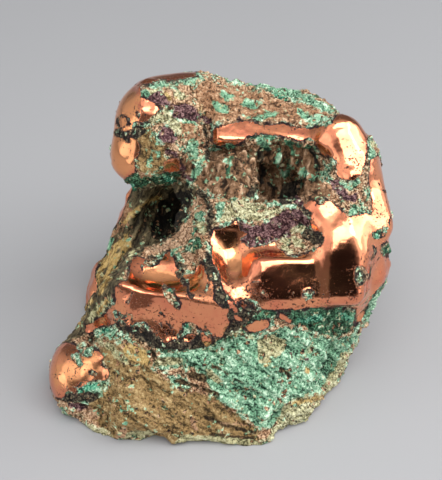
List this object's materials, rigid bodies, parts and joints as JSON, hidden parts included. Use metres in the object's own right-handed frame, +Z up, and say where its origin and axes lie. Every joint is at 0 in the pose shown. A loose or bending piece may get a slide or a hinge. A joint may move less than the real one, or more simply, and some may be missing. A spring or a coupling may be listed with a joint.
{
  "type": "native copper nugget",
  "caption": "Rounded lump of native copper with a hooked head, a deep side valley and polished metal showing through green and brown crust, standing on a flat base",
  "frame": {"origin": "middle of the bounding box, on the flat base that it stands on", "axes": "+X is to the right along its greatest width, seen from the front where the polished belt crosses it; +Y is to the back; +Z is up"},
  "size_m": [0.1608, 0.142, 0.1307],
  "materials": {
    "native_copper": null
  },
  "bodies": {
    "root": {"copper_nugget": "native_copper"}
  },
  "joints": []
}
